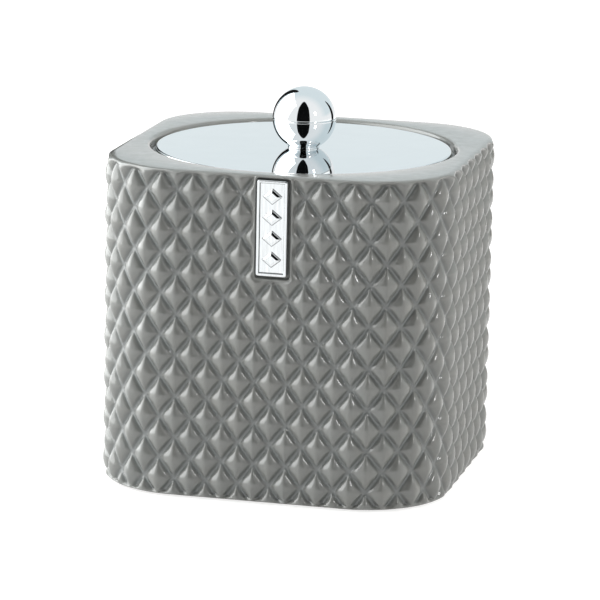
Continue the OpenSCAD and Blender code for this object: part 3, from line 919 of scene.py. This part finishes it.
def make_knob(metal, finish):
    """The two halves of the ball with their seam, the screw that holds them and its washer.

    Each half is an outline turned about the axis: the lower one runs over the neck and the ball to
    the seam and down the spigot's socket, and the upper one over the spigot and the seam to the top.
    """
    low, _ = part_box("knob_base")
    _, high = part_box("knob_cap")
    radius = high.x
    middle = high.z - radius
    neck, spigot, bore, seam = metal.neck / 2, metal.spigot / 2, metal.screw / 2, metal.seam
    spigot_low, neck_top = middle - metal.spigot_length, middle - (radius ** 2 - neck ** 2) ** 0.5
    bore_edge, neck_edge = 0.1 * MM, 0.12 * MM
    lip_in, lip_up = 0.4 * seam, 0.35 * seam
    seam_angle, neck_angle = np.degrees(np.arcsin(seam / radius)), np.degrees(np.arccos(neck / radius))
    lower = np.vstack([
        soften([(bore, low.z, bore_edge), (neck, low.z, neck_edge), (neck, neck_top, 0)], steps=4)[:-1],
        ball_arc(radius, middle, -neck_angle, -seam_angle),
        [[radius - lip_in, middle - lip_up], [radius - seam, middle]],
        [[spigot, middle], [spigot, spigot_low], [bore, spigot_low]],
    ])
    piece = link("knob_lower", *revolved(lower, 128))
    shiny = plating(finish)
    finish_piece(piece, shiny, "polished_metal", "lid", "knob_base")
    upper = np.vstack([
        [[0, spigot_low], [spigot, spigot_low], [spigot, middle]],
        [[radius - seam, middle], [radius - lip_in, middle + lip_up]],
        ball_arc(radius, middle, seam_angle, 90)[:-1], [[0, high.z]],
    ])
    piece = link("knob_upper", *revolved(upper, 128))
    finish_piece(piece, shiny, "polished_metal", "lid", "knob_cap")

    low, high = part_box("knob_washer")
    edge = 0.15 * MM
    outline = flat_ring(bore + metal.screw_gap, high.x, low.z, high.z, edge, edge)
    plain = steel(finish)
    piece = link("washer", *revolved(outline, 96))
    finish_piece(piece, plain, "steel", "lid", "knob_washer")
    dress("knob_screw", plain)


def white_floor(stage):
    """White floor: camera, glossy and transmitted rays see it brightened, and its shadow stays.

    Its own light rises to full white away from the jar, where the lamps no longer reach it.
    """
    nodes = new_material("floor_white")
    near, far = 0.18, 0.5
    plain = nodes.add("ShaderNodeBsdfDiffuse", Color=(0.8, 0.8, 0.8, 1))
    dim = nodes.add("ShaderNodeBsdfDiffuse", Color=(0.4, 0.4, 0.4, 1))
    away = nodes.add("ShaderNodeVectorMath", operation="LENGTH")
    nodes.join(nodes.place(), away.inputs[0])
    lit = nodes.add("ShaderNodeEmission", Color=(1, 1, 1, 1))
    white = nodes.between(away.outputs["Value"], (near, far), (stage.floor_white, 1))
    nodes.join(white, lit.inputs["Strength"])
    both = nodes.add("ShaderNodeAddShader")
    for shader, socket in zip((dim, lit), both.inputs):
        nodes.join(shader.outputs[0], socket)
    return nodes.split("ShaderNodeOutputMaterial", plain.outputs[0], both.outputs[0])


def make_world(stage):
    """White surroundings for the camera and for reflections, with an even, weaker light for all else.

    Reflections see them a little greyer and cooler behind the jar, from some way above the floor up.
    The grey is the product of two rises, over the height and over the depth of a ray's direction.
    """
    world = bpy.data.worlds.new("studio")
    bpy.context.scene.world = world
    nodes = Nodes(world)
    ray = nodes.add("ShaderNodeSeparateXYZ")
    nodes.join(nodes.add("ShaderNodeTexCoord").outputs["Generated"], ray.inputs[0])
    high = nodes.between(ray.outputs["Z"], stage.grey_from, (0, 1))
    behind = nodes.between(ray.outputs["Y"], (-0.25, 0.2), (0, 1))
    grey = nodes.combined("MULTIPLY", high, behind)
    grey = nodes.combined("MULTIPLY", grey, nodes.add("ShaderNodeLightPath").outputs["Is Glossy Ray"])
    white = nodes.add("ShaderNodeBackground", Strength=1.0)
    nodes.join(nodes.mixed(grey, (1, 1, 1), stage.back_grey), white.inputs["Color"])
    fill = nodes.add("ShaderNodeBackground", Color=(1, 1, 1, 1), Strength=stage.fill)
    nodes.split("ShaderNodeOutputWorld", fill.outputs[0], white.outputs[0])


def towards(azimuth, elevation=0):
    """The direction at an azimuth, from the front to the right, and an elevation above the floor."""
    return Vector((sin(azimuth) * cos(elevation), -cos(azimuth) * cos(elevation), sin(elevation)))


def make_camera(stage):
    """The camera, at its azimuth and elevation round the target, and rolled about its own axis."""
    back = towards(stage.azimuth, stage.elevation)
    right = Vector((cos(stage.azimuth), sin(stage.azimuth), 0))
    up = back.cross(right)
    target = right * stage.target_side + Vector((0, 0, stage.target_height))
    side = right * cos(stage.roll) + up * sin(stage.roll)
    top = up * cos(stage.roll) - right * sin(stage.roll)
    data = bpy.data.cameras.new("camera")
    data.lens = stage.lens_share * data.sensor_width
    data.clip_start, data.clip_end = 0.01, 50
    camera = bpy.data.objects.new("camera", data)
    turned = Matrix((side, top, back)).transposed().to_4x4()
    camera.matrix_world = Matrix.Translation(target + back * stage.distance) @ turned
    bpy.context.scene.collection.objects.link(camera)
    bpy.context.scene.camera = camera


def make_lamp(name, azimuth, elevation, distance, size, power, tint=(1, 1, 1), mirrored=True):
    """A rectangular area lamp that looks at the jar from an azimuth and an elevation, in degrees."""
    back = towards(radians(azimuth), radians(elevation))
    data = bpy.data.lights.new(name, "AREA")
    data.shape = "RECTANGLE"
    data.size, data.size_y = size
    data.energy, data.color = power, tint
    lamp = bpy.data.objects.new(name, data)
    lamp.location = Vector((0, 0, 50 * MM)) + back * distance
    lamp.rotation_mode = "QUATERNION"
    lamp.rotation_quaternion = back.to_track_quat("Z", "Y")
    lamp.visible_camera = False
    lamp.visible_glossy = mirrored
    bpy.context.scene.collection.objects.link(lamp)


def make_card(name, azimuth, distance, width, height, top):
    """A dark card that stands on the floor at an azimuth in degrees, and narrows to a share of its width.

    It is upright up to 0.4 of its height, and two slanted lines lead to the top. Only reflections see it.
    """
    back, right = towards(radians(azimuth)), towards(radians(azimuth + 90))
    half = [(1, 0), (1, 0.4), ((1 + top) / 2, 0.8), (top, 1)]
    outline = half + [(-x, z) for x, z in reversed(half)]
    corners = [back * distance + right * x * width / 2 + Vector((0, 0, z * height)) for x, z in outline]
    card = link(name, np.array([tuple(c) for c in corners]), [np.arange(len(corners))[None]])
    card.data.materials.append(dark_cloth())
    card.visible_camera = card.visible_diffuse = card.visible_shadow = False


def dark_cloth():
    """Black cloth of a card, with a faint weave."""
    nodes = new_material("dark_cloth")
    weave = nodes.mixed(nodes.noise(900), (0.004, 0.004, 0.004), (0.009, 0.009, 0.01))
    return nodes.surface(weave, Roughness=0.95, Specular_IOR_Level=0.1)


def make_stage(stage):
    """The floor, the surroundings, the cards, the lamps, the camera and the plain view transform."""
    floor_radius, turns = 6.0, 64
    rim = circle_at(np.arange(turns) * 2 * pi / turns, floor_radius, 0.0)
    floor = link("floor", rim, [np.arange(turns)[None]])
    floor.data.materials.append(white_floor(stage))
    make_world(stage)
    make_card("front_card", azimuth=10, distance=1.5, width=1.3, height=4.2, top=0.2)
    make_card("right_card", azimuth=136, distance=0.5, width=0.13, height=0.42, top=0.2)
    make_card("left_card", azimuth=-141, distance=0.3, width=0.11, height=0.55, top=0.4)
    make_lamp("left_softbox", azimuth=-82, elevation=30, distance=0.6, size=(0.8, 0.8), power=7.3,
              tint=(0.98, 1.0, 1.0))
    make_lamp("right_softbox", azimuth=112, elevation=35, distance=1.2, size=(1.2, 1.2), power=13,
              tint=(1.0, 0.98, 0.94), mirrored=False)
    make_lamp("front_fill", azimuth=-35, elevation=12, distance=1.4, size=(0.8, 0.8), power=2.2,
              mirrored=False)
    make_lamp("small_spot", azimuth=56, elevation=26, distance=0.9, size=(0.07, 0.14), power=0.6)
    make_camera(stage)
    bpy.context.scene.view_settings.view_transform = "Standard"


class PADJAR_OT_jar(bpy.types.Operator):
    """Builds the glazed jar with its relief of diamonds"""

    bl_idname = "padjar.jar"
    bl_label = "Ceramic jar"

    def execute(self, context):
        make_jar(*settings("jar", "finish"))
        return {"FINISHED"}


class PADJAR_OT_pads(bpy.types.Operator):
    """Builds the four soft pads under the jar"""

    bl_idname = "padjar.pads"
    bl_label = "Foot pads"

    def execute(self, context):
        make_pads(*settings("metal", "finish"))
        return {"FINISHED"}


class PADJAR_OT_badge(bpy.types.Operator):
    """Builds the metal badge and finishes the adhesive pad behind it"""

    bl_idname = "padjar.badge"
    bl_label = "Badge"

    def execute(self, context):
        make_badge(*settings("metal", "finish"))
        return {"FINISHED"}


class PADJAR_OT_lid(bpy.types.Operator):
    """Builds the lid plate, its skirt and its soft ring"""

    bl_idname = "padjar.lid"
    bl_label = "Lid"

    def execute(self, context):
        make_lid(*settings("metal", "finish"))
        return {"FINISHED"}


class PADJAR_OT_knob(bpy.types.Operator):
    """Builds the ball knob, its washer and the finish of its screw"""

    bl_idname = "padjar.knob"
    bl_label = "Knob"

    def execute(self, context):
        make_knob(*settings("metal", "finish"))
        return {"FINISHED"}


class PADJAR_OT_stage(bpy.types.Operator):
    """Sets up the floor, the surroundings, the lamps and the camera"""

    bl_idname = "padjar.stage"
    bl_label = "Stage"

    def execute(self, context):
        make_stage(*settings("stage"))
        return {"FINISHED"}


class PADJAR_PT_sidebar(bpy.types.Panel):
    """Lists the sizes, the finishes and the operators"""

    bl_idname = "PADJAR_PT_sidebar"
    bl_label = "Cotton Pad Jar"
    bl_space_type = "VIEW_3D"
    bl_region_type = "UI"
    bl_category = "Pad Jar"

    def draw(self, context):
        for group in settings(*GROUPS):
            box = self.layout.box()
            for name in group.__annotations__:
                box.prop(group, name)
        for operator in OPERATORS:
            self.layout.operator(operator.bl_idname)


GROUPS = {
    "jar": PADJAR_PG_jar,
    "metal": PADJAR_PG_metal,
    "finish": PADJAR_PG_finish,
    "stage": PADJAR_PG_stage,
}
OPERATORS = (PADJAR_OT_stage, PADJAR_OT_jar, PADJAR_OT_pads, PADJAR_OT_badge, PADJAR_OT_lid, PADJAR_OT_knob)


def register():
    """Registers the classes and hangs the property groups on the scene."""
    for group in (*GROUPS.values(), *OPERATORS, PADJAR_PT_sidebar):
        bpy.utils.register_class(group)
    for name, group in GROUPS.items():
        setattr(bpy.types.Scene, "padjar_" + name, PointerProperty(type=group))


def unregister():
    """Takes the property groups and the classes away again."""
    for name in GROUPS:
        delattr(bpy.types.Scene, "padjar_" + name)
    for group in (PADJAR_PT_sidebar, *reversed(OPERATORS), *GROUPS.values()):
        bpy.utils.unregister_class(group)


def main():
    """Builds everything in order."""
    register()
    bpy.ops.padjar.stage()
    bpy.ops.padjar.jar()
    bpy.ops.padjar.pads()
    bpy.ops.padjar.badge()
    bpy.ops.padjar.lid()
    bpy.ops.padjar.knob()


if __name__ == "__main__":
    main()
